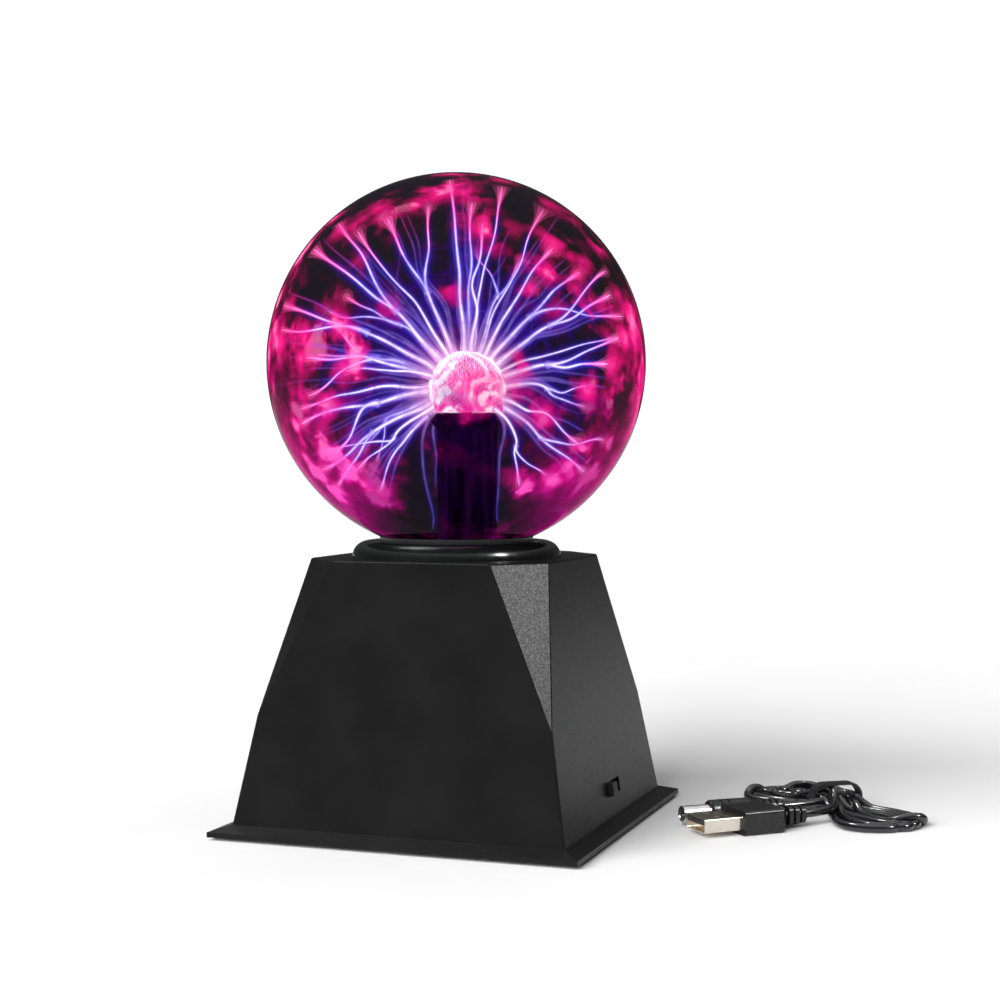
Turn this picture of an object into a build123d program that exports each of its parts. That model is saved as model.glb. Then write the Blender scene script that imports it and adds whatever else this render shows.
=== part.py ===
from build123d import *
import math
import os

os.makedirs("parts", exist_ok=True)

# Plasma ball on a square faceted base, with its power lead tied in a hank.
# Millimetres, +Z up, origin on the table under the middle of the base.
# The front is -Y, the slide switch is on the +X side, the power inlet at the back.

# ---- Driving dimensions -------------------------------------------------------
globe_radius = 63.5            # a 5 inch globe
globe_gap = 1.1                # lowest point of the sphere above the roof
foot_proud = 1.0               # rubber feet below the flange
flange_half = 61.6
flange_rim = 1.6               # upright edge of the flange
flange_rise = 3.4              # upright edge and sloped top together
skirt_half = 55.7              # half side of the walls where they meet the flange
roof_half = 41.3               # half side at the roof, before the corners are cut
base_height = 87.5             # underside of the flange to the roof
facet_tip = 36.3               # lowest point of each corner facet above the underside
facet_cut = 14.7               # length that each facet takes off a roof edge
wall = 2.2
edge_round = 0.8

skirt_z = foot_proud + flange_rise
roof_z = foot_proud + base_height
facet_z = foot_proud + facet_tip
globe_z = roof_z + globe_gap + globe_radius
tilt = math.atan2(skirt_half - roof_half, roof_z - skirt_z)
CORNERS = [(1, 1), (-1, 1), (-1, -1), (1, -1)]
ON_BASE = (Align.CENTER, Align.CENTER, Align.MIN)      # solids stand on their own underside


def half_side(z):
    """Half side of the outer walls at height z."""
    return skirt_half - (z - skirt_z) * math.tan(tilt)


def facet_plane(corner, inset):
    """Plane of one corner facet, facing outwards, moved inwards by inset."""
    roof_diagonal = (2 * roof_half - facet_cut) / math.sqrt(2)
    tip_diagonal = half_side(facet_z) * math.sqrt(2)
    lean = math.atan2(tip_diagonal - roof_diagonal, roof_z - facet_z)
    flat = math.cos(lean) / math.sqrt(2)
    normal = Vector(corner[0] * flat, corner[1] * flat, math.sin(lean))
    tip = Vector(corner[0] * half_side(facet_z), corner[1] * half_side(facet_z), facet_z)
    return Plane(origin=tip - normal * inset, z_dir=normal)


def faceted_frustum(inset, low_z):
    """Solid inside the base's outer faces, each moved inwards by inset."""
    side_inset = inset / math.cos(tilt)
    with BuildPart() as block:
        for z in (low_z, roof_z - inset):
            with BuildSketch(Plane.XY.offset(z)):
                side = 2 * (half_side(z) - side_inset)
                Rectangle(side, side)
        loft()
        for corner in CORNERS:
            split(bisect_by=facet_plane(corner, inset), keep=Keep.BOTTOM)
    return block.part


def save(builder, name):
    """Label a finished piece and write its STEP file."""
    builder.part.label = name
    export_step(builder.part, f"parts/{name}.step")


def wire(points, bends, radius):
    """Round wire or cord along straight runs joined by tangent arcs."""
    with BuildPart() as run:
        with BuildLine() as route:
            FilletPolyline(*points, radius=bends)
        with BuildSketch(Plane(origin=route.line @ 0, z_dir=route.line % 0)):
            Circle(radius)
        sweep(path=route.line)
    return run.part


# ---- Base plate, feet and their places -----------------------------------------
plate_half = 56.5
plate_thick = 2.0
plate_top = foot_proud + plate_thick
plate_gap = 0.15               # between the plate's edge and its recess
base_screw_x = 32.0
base_screw_y = 44.0
cup_radius = 5.2               # raised cup round each screw head
cup_top = plate_top + 2.6
head_seat = 4.0                # height of the face under each screw head
screw_radius = 1.5
screw_length = 12.0
boss_radius = 3.8
boss_height = 22.0
boss_bore = 13.0
boss_rib = 1.6                 # ribs that tie each boss to the walls
boss_rib_x = 28.0
boss_rib_y = 16.0
head_radius = 2.9
head_thick = 1.9
foot_radius = 6.0
foot_offset = 47.5
foot_pocket = 0.8
board_post_x = 26.0
board_post_y = 18.0
board_z = 9.0                  # underside of the circuit board
board_thick = 1.6
board_top = board_z + board_thick
board_screw_radius = 1.3
BASE_SCREWS = [(sx * base_screw_x, sy * base_screw_y) for sx, sy in CORNERS]
FEET = [(sx * foot_offset, sy * foot_offset) for sx, sy in CORNERS]
BOARD_POSTS = [(sx * board_post_x, sy * board_post_y) for sx, sy in CORNERS]

# ---- Slide switch on the +X wall -------------------------------------------------
switch_y = 3.0
switch_z = 13.0
slot_length = 14.0
slot_height = 5.0
knob_length = 4.6
knob_height = 4.2
knob_proud = 1.9
switch_travel = 8.8            # three positions, 4.4 apart
switch_length = 22.0
switch_height = 8.0
switch_depth = 5.5
switch_ear = 32.0
switch_screw_pitch = 27.0
switch_frame_gap = 3.0         # inner wall face to the switch's front plate
switch_plate = 0.6
switch_pins = 3.0
knob_skirt = 4.6               # slider inside the switch, under the knob
switch_wall = Plane(
    origin=(half_side(switch_z), switch_y, switch_z),
    x_dir=(0, 1, 0),
    z_dir=(math.cos(tilt), 0, math.sin(tilt)),
)

# ---- Power inlet on the +Y wall ---------------------------------------------------
inlet_z = 15.0
inlet_thread = 4.0
inlet_bore = 3.0
inlet_depth = 9.5
inlet_wall = Plane(
    origin=(0, half_side(inlet_z), inlet_z),
    x_dir=(-1, 0, 0),
    z_dir=(0, math.cos(tilt), math.sin(tilt)),
)

# ---- Globe, neck and electrode ----------------------------------------------------
glass = 2.0
neck_radius = 18.0
neck_bottom = 73.0
neck_blend = 5.0
roof_hole = 21.8
collar_radius = 35.4
collar_top = 5.0
collar_crest = 28.3
stem_x = 3.4                   # the electrode stands a little off the globe's axis
stem_y = 1.2
stem_radius = 10.0
stem_glass = 1.2
bulb_radius = 13.4
bulb_centre = 144.5
bulb_flat = 136.8              # where the glowing filler ends
shoulder = 6.0                 # height over which the bulb narrows to the stem


# ==== Base housing =================================================================
with BuildPart() as boss_block:
    with BuildSketch(Plane.XY.offset(cup_top)):
        with Locations(*BASE_SCREWS):
            Circle(boss_radius)
        for sx, sy in CORNERS:
            with Locations((sx * base_screw_x, sy * (base_screw_y + boss_rib_y / 2))):
                Rectangle(boss_rib, boss_rib_y)
            with Locations((sx * (base_screw_x + boss_rib_x / 2), sy * base_screw_y)):
                Rectangle(boss_rib_x, boss_rib)
    extrude(amount=boss_height)
    add(faceted_frustum(wall / 2, foot_proud), mode=Mode.INTERSECT)
    with Locations(*[(x, y, cup_top) for x, y in BASE_SCREWS]):
        Cylinder(screw_radius, boss_bore, align=ON_BASE, mode=Mode.SUBTRACT)

with BuildPart() as base_housing:
    add(faceted_frustum(0, skirt_z))
    fillet(base_housing.edges().filter_by(lambda e: e.center().Z > skirt_z + 1), radius=edge_round)
    for low, high, low_half, high_half in (
        (foot_proud, foot_proud + flange_rim, flange_half, flange_half),
        (foot_proud + flange_rim, skirt_z, flange_half, skirt_half),
    ):
        with BuildSketch(Plane.XY.offset(low)):
            Rectangle(2 * low_half, 2 * low_half)
        with BuildSketch(Plane.XY.offset(high)):
            Rectangle(2 * high_half, 2 * high_half)
        loft()
    add(faceted_frustum(wall, foot_proud), mode=Mode.SUBTRACT)
    with BuildSketch(Plane.XY.offset(foot_proud)):
        Rectangle(2 * (plate_half + plate_gap), 2 * (plate_half + plate_gap))
    extrude(amount=plate_thick, mode=Mode.SUBTRACT)
    with BuildSketch(Plane.XY.offset(roof_z)):
        Circle(roof_hole)
    extrude(amount=-2 * wall, mode=Mode.SUBTRACT)
    add(boss_block.part)
    with BuildSketch(switch_wall.offset(-wall)):
        with GridLocations(switch_screw_pitch, 0, 2, 1):
            Circle(2.6)
    extrude(amount=-switch_frame_gap)
    with BuildSketch(switch_wall.offset(-wall - switch_frame_gap)):
        with GridLocations(switch_screw_pitch, 0, 2, 1):
            Circle(1.1)
    extrude(amount=switch_frame_gap, mode=Mode.SUBTRACT)
    with BuildSketch(switch_wall.offset(1)):
        RectangleRounded(slot_length, slot_height, 0.4)
    extrude(amount=-2 * wall, mode=Mode.SUBTRACT)
    with BuildSketch(inlet_wall.offset(1)):
        Circle(inlet_thread + 0.1)
    extrude(amount=-2 * wall, mode=Mode.SUBTRACT)
save(base_housing, "base_housing")

# ==== Base plate and its fasteners ===================================================
with BuildPart() as base_plate:
    with BuildSketch(Plane.XY.offset(foot_proud)):
        Rectangle(2 * plate_half, 2 * plate_half)
    extrude(amount=plate_thick)
    with BuildSketch(Plane.XY.offset(plate_top)):
        with Locations(*BASE_SCREWS):
            Circle(cup_radius)
    extrude(amount=cup_top - plate_top)
    with BuildSketch(Plane.XY.offset(plate_top)):
        with Locations(*BOARD_POSTS):
            Circle(3.0)
    extrude(amount=board_z - plate_top)
    with Locations(*[(x, y, foot_proud) for x, y in BASE_SCREWS]):
        Cylinder(head_radius + 0.5, head_seat - foot_proud, align=ON_BASE, mode=Mode.SUBTRACT)
        Cylinder(screw_radius + 0.2, cup_top - foot_proud, align=ON_BASE, mode=Mode.SUBTRACT)
    with Locations(*[(x, y, foot_proud) for x, y in FEET]):
        Cylinder(foot_radius, foot_pocket, align=ON_BASE, mode=Mode.SUBTRACT)
    with Locations(*[(x, y, plate_top) for x, y in BOARD_POSTS]):
        Cylinder(board_screw_radius, board_z - plate_top, align=ON_BASE, mode=Mode.SUBTRACT)
save(base_plate, "base_plate")

with BuildPart() as rubber_feet:
    with Locations(*[(x, y, 0) for x, y in FEET]):
        Cylinder(foot_radius, foot_proud + foot_pocket, align=ON_BASE)
    fillet(rubber_feet.edges().group_by(Axis.Z)[0], radius=0.4)
save(rubber_feet, "rubber_feet")


def pan_screws(places, seat, shank, length, head, thick, up):
    """Pan head screws with a cross recess; up is 1 or -1, the way the shank points."""
    with BuildPart() as screws:
        for x, y in places:
            with BuildSketch(Plane.XY.offset(seat)):
                with Locations((x, y)):
                    Circle(shank)
            extrude(amount=up * length)
            with BuildSketch(Plane.XY.offset(seat)):
                with Locations((x, y)):
                    Circle(head)
            extrude(amount=-up * thick, taper=12)
            with BuildSketch(Plane.XY.offset(seat - up * thick)):
                with Locations((x, y)):
                    Rectangle(head * 1.1, head * 0.28)
                    Rectangle(head * 0.28, head * 1.1)
            extrude(amount=up * thick * 0.6, mode=Mode.SUBTRACT)
    return screws


base_screws = pan_screws(BASE_SCREWS, head_seat, screw_radius, screw_length, head_radius, head_thick, 1)
save(base_screws, "base_screws")

# ==== Globe, collar and seals ==========================================================
with BuildPart() as glass_globe:
    with BuildSketch(Plane.XZ):
        with Locations((0, globe_z)):
            Circle(globe_radius)
        with Locations((0, (neck_bottom + globe_z) / 2)):
            Rectangle(2 * neck_radius, globe_z - neck_bottom)
        fillet([v for v in vertices() if neck_bottom + 5 < v.Z < globe_z], radius=neck_blend)
        with Locations((0, globe_z)):
            Circle(globe_radius - glass, mode=Mode.SUBTRACT)
        with Locations((0, (neck_bottom + globe_z) / 2)):
            Rectangle(2 * (neck_radius - glass), globe_z - neck_bottom, mode=Mode.SUBTRACT)
        with Locations((-globe_radius, globe_z)):
            Rectangle(2 * globe_radius, 4 * globe_radius, mode=Mode.SUBTRACT)
    revolve(axis=Axis.Z)
save(glass_globe, "glass_globe")

with BuildPart() as globe_collar:
    with BuildSketch(Plane.XZ):
        with BuildLine():
            Polyline(
                (collar_radius - 0.3, roof_z),
                (roof_hole, roof_z),
                (roof_hole, roof_z + 2.6),
                (roof_hole + 2.2, roof_z + 4.1),
            )
            ThreePointArc(
                (roof_hole + 2.2, roof_z + 4.1),
                (roof_hole + 4.0, roof_z + 4.8),
                (collar_crest, roof_z + collar_top),
            )
            ThreePointArc(
                (collar_crest, roof_z + collar_top),
                (collar_radius - 1.6, roof_z + 3.4),
                (collar_radius - 0.3, roof_z),
            )
        make_face()
    revolve(axis=Axis.Z)
save(globe_collar, "globe_collar")

# Bead of silicone that fills the wedge between the collar and the sphere.
with BuildPart() as globe_seal:
    with BuildSketch(Plane.XZ):
        with Locations((roof_hole + 0.6, roof_z + 1.6)):
            Rectangle(3.4, 6, align=(Align.MIN, Align.MIN))
        with Locations((0, globe_z)):
            Circle(globe_radius, mode=Mode.SUBTRACT)
    revolve(axis=Axis.Z)
    add(globe_collar.part, mode=Mode.SUBTRACT)
save(globe_seal, "globe_seal")

with BuildPart() as neck_adhesive:
    with BuildSketch(Plane.XY.offset(roof_z - wall - 2)):
        Circle(roof_hole)
        Circle(neck_radius, mode=Mode.SUBTRACT)
    extrude(amount=wall + 2)
save(neck_adhesive, "neck_adhesive")

with BuildPart() as electrode_stem:
    with BuildSketch(Plane.XZ.offset(-stem_y)):
        with BuildLine():
            bulb_side = Line((stem_x + bulb_radius, bulb_centre), (stem_x + bulb_radius, bulb_flat))
            ThreePointArc(
                bulb_side @ 1,
                (stem_x + (bulb_radius + stem_radius) / 2 + 0.5, bulb_flat - shoulder * 0.55),
                (stem_x + stem_radius, bulb_flat - shoulder),
            )
            Line((stem_x + stem_radius, bulb_flat - shoulder), (stem_x + stem_radius, neck_bottom))
            Line((stem_x + stem_radius, neck_bottom), (stem_x, neck_bottom))
            Line((stem_x, neck_bottom), (stem_x, bulb_centre + bulb_radius))
            RadiusArc((stem_x, bulb_centre + bulb_radius), bulb_side @ 0, bulb_radius)
        make_face()
    revolve(axis=Axis((stem_x, stem_y, 0), (0, 0, 1)))
    offset(amount=-stem_glass, openings=electrode_stem.faces().sort_by(Axis.Z)[0])
    # flared skirt that is fused to the globe's neck, and the sealed pumping tip
    with BuildSketch(Plane.XY.offset(neck_bottom)):
        Circle(neck_radius - glass)
        with Locations((stem_x, stem_y)):
            Circle(stem_radius - stem_glass, mode=Mode.SUBTRACT)
    extrude(amount=glass)
    with BuildSketch(Plane.XY.offset(neck_bottom)):
        with Locations((-11.5, -4)):
            Circle(2.4)
    extrude(amount=-8, taper=8)
save(electrode_stem, "electrode_stem")

# Conductive filler that shows as the bright dome inside the bulb.
core_radius = bulb_radius - stem_glass - 0.1
with BuildPart() as electrode_core:
    with Locations((stem_x, stem_y, bulb_flat)):
        Cylinder(core_radius, bulb_centre - bulb_flat, align=ON_BASE)
    with Locations((stem_x, stem_y, bulb_centre)):
        Sphere(core_radius, arc_size1=0, align=ON_BASE)
save(electrode_core, "electrode_core")

# ==== Driver board =======================================================================
board_length = 62.0
board_width = 46.0
transformer_x = -11.0
transformer_y = 2.0
transformer_foot = 2.5         # height of the moulded base under the core
frame_width = 26.0
frame_height = 24.0
frame_depth = 8.0
window_width = 6.0
window_height = 16.0
window_pitch = 13.0
winding_lift = 4.2             # the winding stands clear of the core's lower yoke
winding_height = 15.6
CAN_CAPACITORS = [(14, -15, 5, 17), (3, -17, 4, 12)]     # x, y, radius, height
BOX_CAPACITORS = [(-18, -17), (-7, -17)]
RESISTORS = [(21, -9), (24.5, -9), (28, -9), (-28, -8), (-28, 0), (-28, 8)]
sink_x = 11.0
sink_y = 15.0                  # middle of the heatsink's flat back
sink_width = 22.0
sink_thick = 2.0
sink_height = 24.0
fin_length = 7.0
fin_thick = 1.2
fin_pitch = 5.1
tab_thick = 1.3                # metal tab of the transistor
tab_screw_z = board_top + 17
tab_screw_radius = 1.5
lead_pitch = 2.54

with BuildPart() as circuit_board:
    with BuildSketch(Plane.XY.offset(board_z)):
        RectangleRounded(board_length, board_width, 1.5)
        with Locations(*BOARD_POSTS):
            Circle(board_screw_radius + 0.2, mode=Mode.SUBTRACT)
    extrude(amount=board_thick)
save(circuit_board, "circuit_board")

board_screws = pan_screws(BOARD_POSTS, board_top, board_screw_radius, 5.5, 2.4, 1.5, -1)
save(board_screws, "board_screws")

core_low = board_top + transformer_foot
with BuildPart() as transformer_core:
    with BuildSketch(Plane.XZ.offset(-transformer_y + frame_depth / 2)):
        with Locations((transformer_x, core_low + frame_height / 2)):
            Rectangle(frame_width, frame_height)
            with GridLocations(window_pitch, 0, 2, 1):
                Rectangle(window_width, window_height, mode=Mode.SUBTRACT)
    extrude(amount=-frame_depth)
save(transformer_core, "transformer_core")

with BuildPart() as transformer_winding:
    with BuildSketch(Plane.XY.offset(core_low + winding_lift)):
        with Locations((transformer_x, transformer_y)):
            RectangleRounded(18.4, 20, 3)
            Rectangle(window_pitch - window_width + 0.2, frame_depth + 0.2, mode=Mode.SUBTRACT)
    extrude(amount=winding_height)
save(transformer_winding, "transformer_winding")

with BuildPart() as transformer_base:
    with BuildSketch(Plane.XY.offset(board_top)):
        with Locations((transformer_x, transformer_y)):
            Rectangle(frame_width + 1, 22)
    extrude(amount=transformer_foot)
save(transformer_base, "transformer_base")

with BuildPart() as electrolytic_capacitors:
    for x, y, radius, height in CAN_CAPACITORS:
        with BuildSketch(Plane.XY.offset(board_top)):
            with Locations((x, y)):
                Circle(radius)
        extrude(amount=height)
    tops = electrolytic_capacitors.edges().filter_by(GeomType.CIRCLE)
    fillet([e for e in tops if e.center().Z > board_top + 1], radius=0.6)
save(electrolytic_capacitors, "electrolytic_capacitors")

with BuildPart() as film_capacitors:
    with Locations(*[(x, y, board_top) for x, y in BOX_CAPACITORS]):
        Box(8, 5, 9, align=ON_BASE)
    fillet(film_capacitors.edges().filter_by(Axis.Z), radius=0.6)
save(film_capacitors, "film_capacitors")

sink_face = Plane.XZ.offset(-sink_y + sink_thick / 2)     # the side that the transistor is screwed to
with BuildPart() as heatsink:
    with BuildSketch(Plane.XY.offset(board_top)):
        with Locations((sink_x, sink_y)):
            Rectangle(sink_width, sink_thick)
        with Locations((sink_x, sink_y + (sink_thick + fin_length) / 2)):
            with GridLocations(fin_pitch, 0, 5, 1):
                Rectangle(fin_thick, fin_length)
    extrude(amount=sink_height)
    with BuildSketch(sink_face):
        with Locations((sink_x, tab_screw_z)):
            Circle(tab_screw_radius)
    extrude(amount=-sink_thick, mode=Mode.SUBTRACT)
save(heatsink, "heatsink")

with BuildPart() as power_transistor:
    with BuildSketch(sink_face):
        with Locations((sink_x, tab_screw_z - 5)):
            Rectangle(10, 16)
        with Locations((sink_x, tab_screw_z)):
            Circle(tab_screw_radius + 0.2, mode=Mode.SUBTRACT)
    extrude(amount=tab_thick)
    with BuildSketch(sink_face.offset(tab_thick)):
        with Locations((sink_x, tab_screw_z - 8.5)):
            Rectangle(10, 9)
    extrude(amount=3.2)
    with BuildSketch(Plane.XY.offset(board_top)):
        with Locations((sink_x, sink_y - 4)):
            with GridLocations(lead_pitch, 0, 3, 1):
                Rectangle(0.8, 0.5)
    extrude(amount=4.5)
save(power_transistor, "power_transistor")

with BuildPart() as transistor_screw:
    with BuildSketch(sink_face.offset(tab_thick)):
        with Locations((sink_x, tab_screw_z)):
            Circle(2.8)
    extrude(amount=1.6)
    with BuildSketch(sink_face.offset(tab_thick)):
        with Locations((sink_x, tab_screw_z)):
            Circle(tab_screw_radius)
    extrude(amount=-tab_thick - sink_thick)
save(transistor_screw, "transistor_screw")

chip_x = 20.0
chip_y = 0.0
with BuildPart() as control_chip:
    with Locations((chip_x, chip_y, board_top + 0.8)):
        Box(9.6, 6.4, 3.3, align=ON_BASE)
    with Locations((chip_x, chip_y, board_top)):
        with GridLocations(lead_pitch, 7.2, 4, 2):
            Box(0.6, 0.8, 2.6, align=ON_BASE)
save(control_chip, "control_chip")

with BuildPart() as resistors:
    for x, y in RESISTORS:
        with BuildSketch(Plane.XZ.offset(-y - 3.2)):
            with Locations((x, board_top + 1.6)):
                Circle(1.15)
        extrude(amount=6.4)
        with Locations((x, y, board_top)):
            with GridLocations(0, 5.0, 1, 2):
                Cylinder(0.35, 1.6, align=ON_BASE)
save(resistors, "resistors")

with BuildPart() as microphone:
    with Locations((27, 8, board_top)):
        Cylinder(3.0, 4.2, align=ON_BASE)
        Cylinder(0.6, 4.2, align=ON_BASE, mode=Mode.SUBTRACT)
save(microphone, "microphone")

# ==== Slide switch ==========================================================================
# switch_wall has X along the wall, Y up it and Z out of it. The knob rests at its -Y end.
frame_face = switch_wall.offset(-wall - switch_frame_gap)
with BuildPart() as switch_body:
    with BuildSketch(frame_face):
        RectangleRounded(switch_ear, switch_height, 1.0)
        RectangleRounded(slot_length, slot_height, 0.4, mode=Mode.SUBTRACT)
        with GridLocations(switch_screw_pitch, 0, 2, 1):
            Circle(1.25, mode=Mode.SUBTRACT)
    extrude(amount=-switch_plate)
    with BuildSketch(frame_face.offset(-switch_plate)):
        Rectangle(switch_length, switch_height)
        Rectangle(switch_length - 1.2, switch_height - 1.2, mode=Mode.SUBTRACT)
    extrude(amount=-switch_depth)
    with BuildSketch(frame_face.offset(-switch_plate - switch_depth)):
        Rectangle(switch_length, switch_height)
    extrude(amount=-1.0)
    with BuildSketch(frame_face.offset(-switch_plate - 1.0 - switch_depth)):
        with GridLocations(switch_travel / 2, 3.0, 4, 2):
            Rectangle(0.5, 1.2)
    extrude(amount=-switch_pins)
save(switch_body, "switch_body")

knob_rest = -switch_travel / 2
with BuildPart() as switch_knob:
    with BuildSketch(frame_face.offset(-1.0)):
        with Locations((knob_rest, 0)):
            Rectangle(knob_length + 5.5, switch_height - 1.8)
    extrude(amount=-knob_skirt)
    with BuildSketch(frame_face.offset(-1.0)):
        with Locations((knob_rest, 0)):
            Rectangle(knob_length, knob_height)
    extrude(amount=wall + switch_frame_gap + 1.0 + knob_proud)
    # three finger ridges across the end of the knob
    with BuildSketch(switch_wall.offset(knob_proud)):
        with Locations((knob_rest, 0)):
            with GridLocations(1.3, 0, 3, 1):
                Rectangle(0.5, knob_height)
    extrude(amount=-0.5, mode=Mode.SUBTRACT)
save(switch_knob, "switch_knob")

with BuildPart() as switch_screws:
    for side in (1, -1):
        with BuildSketch(frame_face.offset(-switch_plate)):
            with Locations((side * switch_screw_pitch / 2, 0)):
                Circle(2.0)
        extrude(amount=-1.3)
        with BuildSketch(frame_face.offset(-switch_plate)):
            with Locations((side * switch_screw_pitch / 2, 0)):
                Circle(1.1)
        extrude(amount=switch_plate + switch_frame_gap - 0.2)
        with BuildSketch(frame_face.offset(-switch_plate - 1.3)):
            with Locations((side * switch_screw_pitch / 2, 0)):
                Rectangle(2.4, 0.6)
                Rectangle(0.6, 2.4)
        extrude(amount=0.7, mode=Mode.SUBTRACT)
save(switch_screws, "switch_screws")

# ==== Power inlet ============================================================================
# inlet_wall has Z out of the wall. The jack goes in from outside and a nut holds it.
jack_rim = 1.0
jack_length = 13.0
jack_tags = 4.0
nut_thick = 2.2
with BuildPart() as dc_jack:
    with BuildSketch(inlet_wall):
        Circle(5.4)
    extrude(amount=jack_rim)
    fillet(dc_jack.edges().sort_by(Axis(inlet_wall.origin, inlet_wall.z_dir))[-1], radius=0.4)
    with BuildSketch(inlet_wall):
        Circle(inlet_thread)
    extrude(amount=-jack_length)
    with BuildSketch(inlet_wall.offset(jack_rim)):
        Circle(inlet_bore)
    extrude(amount=-inlet_depth - jack_rim, mode=Mode.SUBTRACT)
    with BuildSketch(inlet_wall.offset(-jack_length)):
        with GridLocations(3.6, 0, 2, 1):
            Rectangle(0.6, 2.0)
    extrude(amount=-jack_tags)
save(dc_jack, "dc_jack")

with BuildPart() as dc_jack_pin:
    with BuildSketch(inlet_wall.offset(-inlet_depth)):
        Circle(1.0)
    extrude(amount=inlet_depth - 0.8)
    tip = dc_jack_pin.edges().sort_by(Axis(inlet_wall.origin, inlet_wall.z_dir))[-1]
    fillet(tip, radius=0.5)
save(dc_jack_pin, "dc_jack_pin")

with BuildPart() as dc_jack_nut:
    with BuildSketch(inlet_wall.offset(-wall)):
        RegularPolygon(6.2, 6)
        Circle(inlet_thread, mode=Mode.SUBTRACT)
    extrude(amount=-nut_thick)
save(dc_jack_nut, "dc_jack_nut")

# ==== Inside wiring ===========================================================================
wire_radius = 0.7
jack_back = inlet_wall.offset(-jack_length - jack_tags).origin
with BuildPart() as inlet_wires:
    for side in (1, -1):
        start = jack_back + Vector(side * 1.8, 0, 0)
        pad = Vector(side * 1.5 - 6, 20, board_top)
        points = [start, start - inlet_wall.z_dir * 4, (pad.X, 27, 16), pad + Vector(0, 0, 4), pad]
        add(wire(points, 1.2, wire_radius))
save(inlet_wires, "inlet_wires")

switch_back = frame_face.offset(-switch_plate - 1.0 - switch_pins - switch_depth).origin
with BuildPart() as switch_wires:
    for lane in (-1, 0, 1):
        start = switch_back + Vector(0, (lane + 0.5) * switch_travel / 2, 0)
        pad = Vector(28.6, lane * 2.4 - 1, board_top)
        turn = Vector(32, pad.Y, 14.5)
        points = [start, start - switch_wall.z_dir * 3, turn, pad + Vector(0, 0, 3), pad]
        add(wire(points, 0.8, wire_radius))
save(switch_wires, "switch_wires")

winding_top = core_low + frame_height
with BuildPart() as hv_lead:
    points = [
        (transformer_x, transformer_y, winding_top),
        (transformer_x, transformer_y, winding_top + 10),
        (stem_x, stem_y, winding_top + 26),
        (stem_x, stem_y, bulb_flat),
    ]
    add(wire(points, 7, 1.6))
save(hv_lead, "hv_lead")

# ==== Power lead ================================================================================
# The lead lies tied in a hank to the right of the base. Its plan is drawn in its own axes
# from the tie: the first to the right as the object is usually seen, the second away.
cord_radius = 1.5
view_turn = math.radians(19.5)          # the hank is laid square to a three-quarter view
tie_right = 130.0
tie_away = 10.0
right_axis = Vector(math.cos(view_turn), math.sin(view_turn), 0)
away_axis = Vector(-math.sin(view_turn), math.cos(view_turn), 0)


def lay(right, away, height):
    """Point at a place in the hank's plan."""
    flat = right_axis * (tie_right + right) + away_axis * (tie_away + away)
    return Vector(flat.X, flat.Y, height)


def lay_direction(degrees):
    """Level direction at an angle in the hank's plan."""
    turn = math.radians(degrees)
    return right_axis * math.cos(turn) + away_axis * math.sin(turn)


# Barrel plug: Z of its plane points from the cord's end to the tip.
barrel_heading = 200.7
barrel_height = 4.0
barrel_plane = Plane(
    origin=lay(-21.0, -12.6, barrel_height),
    x_dir=(0, 0, 1),
    z_dir=lay_direction(barrel_heading),
)
overmold_end = 27.0
sleeve_length = 9.8
sleeve_radius = 2.75
plug_bore = 1.1
sleeve_wall = 0.35
grip_radius = 4.0


def revolved(plane, outline):
    """Turned solid: outline is (distance along Z, radius) pairs, closed on the axis."""
    with BuildPart() as turned:
        with BuildSketch(Plane(origin=plane.origin, x_dir=plane.x_dir, z_dir=-plane.y_dir)):
            with BuildLine():
                points = [(radius, along) for along, radius in outline]
                Polyline((0, outline[0][0]), *points, (0, outline[-1][0]), close=True)
            make_face()
        revolve(axis=Axis(plane.origin, plane.z_dir))
    return turned.part


with BuildPart() as barrel_overmold:
    outline = [(0, 2.4)]
    for rib in range(4):
        low = 0.6 + rib * 2.3
        crest = 2.9 + rib * 0.1
        outline += [(low, 2.0), (low, crest), (low + 1.4, crest + 0.05), (low + 1.4, 2.0)]
    outline += [(9.8, 2.4), (9.8, 3.2), (12.5, 3.9)]
    groove = grip_radius - 0.3
    for low, high in ((20.0, 20.8), (22.8, 23.4)):
        outline += [(low, grip_radius), (low, groove), (high, groove), (high, grip_radius)]
    outline += [(26.4, grip_radius), (overmold_end, 3.6)]
    add(revolved(barrel_plane, outline))
save(barrel_overmold, "barrel_overmold")

with BuildPart() as barrel_sleeve:
    with BuildSketch(barrel_plane.offset(overmold_end)):
        Circle(sleeve_radius)
        Circle(sleeve_radius - sleeve_wall, mode=Mode.SUBTRACT)
    extrude(amount=sleeve_length)
save(barrel_sleeve, "barrel_sleeve")

with BuildPart() as barrel_insulator:
    with BuildSketch(barrel_plane.offset(overmold_end)):
        Circle(sleeve_radius - sleeve_wall)
    extrude(amount=sleeve_length - 0.5)
    with BuildSketch(barrel_plane.offset(overmold_end + sleeve_length - 0.5)):
        Circle(plug_bore)
    extrude(amount=-sleeve_length + 1.5, mode=Mode.SUBTRACT)
save(barrel_insulator, "barrel_insulator")

# USB plug: X of its plane is up, Y across, Z towards the tip.
usb_heading = 203.7
usb_plane = Plane(
    origin=lay(-15.0, -24.2, 4.0),
    x_dir=(0, 0, 1),
    z_dir=lay_direction(usb_heading),
)
usb_body_start = 9.5
usb_body_end = 27.0
usb_shell_width = 12.0
usb_shell_height = 4.5
usb_shell_length = 14.0
usb_body_height = 8.0
usb_body_width = 15.6
usb_socket = 3.0               # how far the shell is let into the overmould
usb_metal = 0.3

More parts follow.
